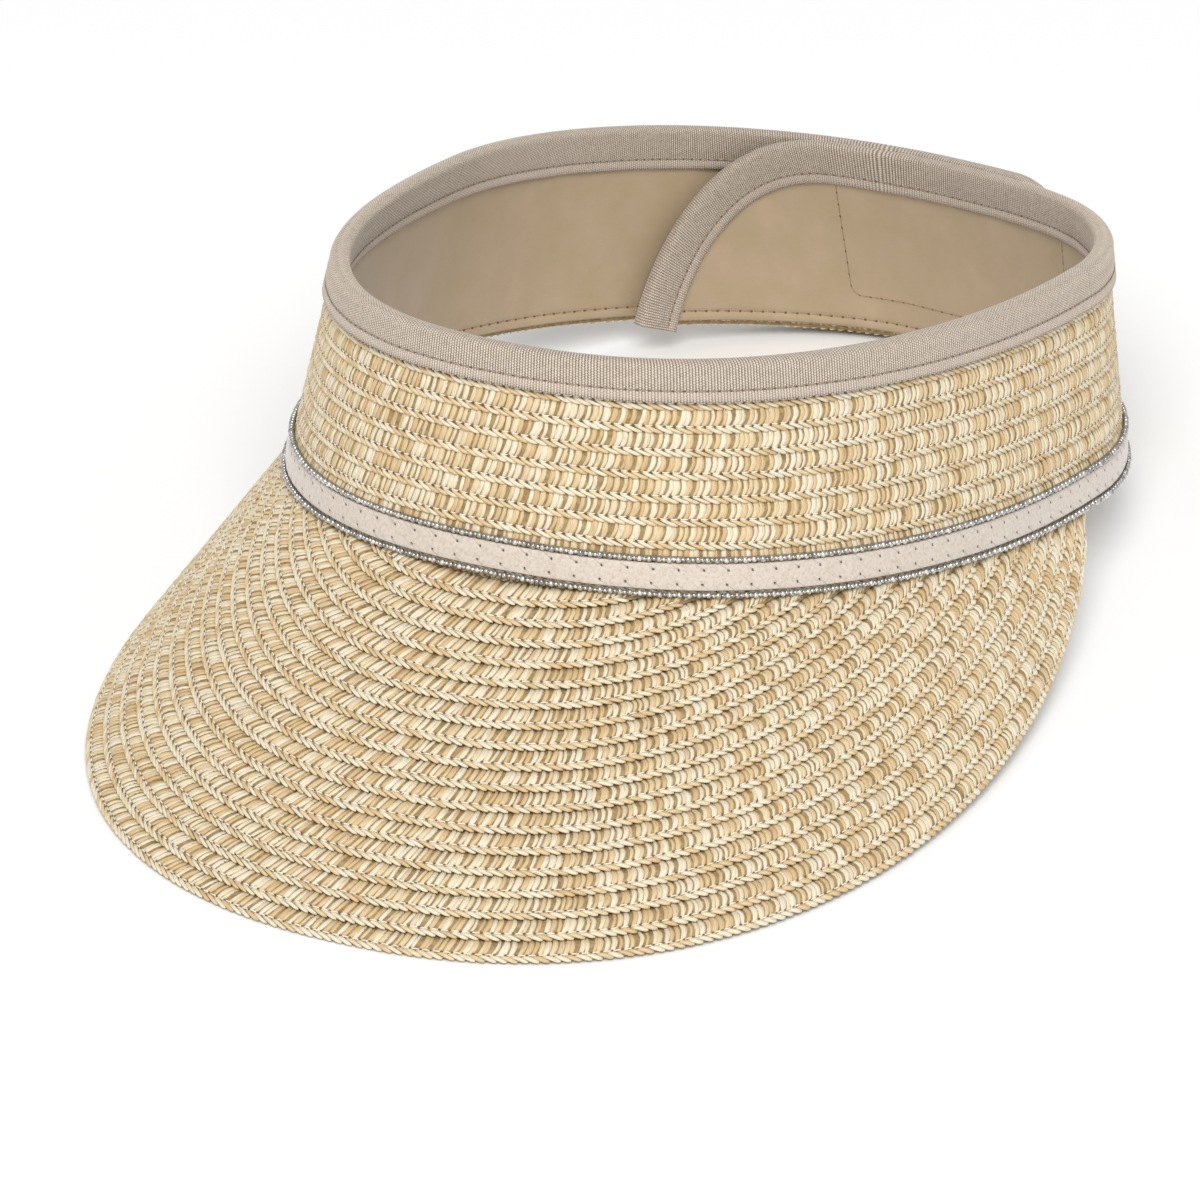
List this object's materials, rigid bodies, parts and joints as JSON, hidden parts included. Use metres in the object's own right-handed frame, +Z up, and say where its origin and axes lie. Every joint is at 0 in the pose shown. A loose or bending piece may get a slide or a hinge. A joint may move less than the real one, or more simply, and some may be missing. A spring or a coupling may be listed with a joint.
{
  "type": "sun visor",
  "caption": "Straw sun visor: a crescent brim of sewn braid on an open crown band with a suede and ball-chain trim and an overlapping rear closure.",
  "frame": {"origin": "on the surface the visor lies on, under the middle of its box", "axes": "+Z up, -Y towards the front of the brim, +X towards the wearer's left as worn"},
  "size_m": [0.1734, 0.2788, 0.0865],
  "materials": {
    "straw_braid": "natural paper straw braid, matte",
    "twill_lining": "smooth twill with a faint sheen",
    "ribbed_tape": "grosgrain rib, matte",
    "suede": "brushed suede",
    "ball_chain": "silver plated, worn bright",
    "hook_and_loop": "hook and loop pile"
  },
  "bodies": {
    "visor": {"brim_course_01": "straw_braid", "brim_course_02": "straw_braid", "brim_course_03": "straw_braid", "brim_course_04": "straw_braid", "brim_course_05": "straw_braid", "brim_course_06": "straw_braid", "brim_course_07": "straw_braid", "brim_course_08": "straw_braid", "brim_course_09": "straw_braid", "brim_course_10": "straw_braid", "brim_course_11": "straw_braid", "brim_course_12": "straw_braid", "brim_course_13": "straw_braid", "brim_course_14": "straw_braid", "brim_course_15": "straw_braid", "brim_course_16": "straw_braid", "brim_course_17": "straw_braid", "brim_course_18": "straw_braid", "crown_braid_front": "straw_braid", "lining_front": "twill_lining", "binding_front": "ribbed_tape", "trim_suede": "suede", "trim_chain_bottom": "ball_chain", "trim_chain_top": "ball_chain"},
    "left_end": {"crown_braid_left": "straw_braid", "lining_left": "twill_lining", "binding_left": "ribbed_tape", "loop_patch": "hook_and_loop"},
    "right_end": {"crown_braid_right": "straw_braid", "lining_right": "twill_lining", "binding_right": "ribbed_tape", "hook_patch": "hook_and_loop"}
  },
  "joints": [
    {"name": "left_end_opens", "type": "hinge", "parent": "visor", "child": "left_end", "pos_m": [-0.0573, 0.1029, 0.03], "axis": [0, 0, 1], "range_deg": [0, 50], "stiffness_Nm_per_rad": 0.03},
    {"name": "right_end_folds_in", "type": "hinge", "parent": "visor", "child": "right_end", "pos_m": [0.051, 0.09819, 0.03], "axis": [0, 0, 1], "range_deg": [0, 25], "stiffness_Nm_per_rad": 0.03}
  ]
}
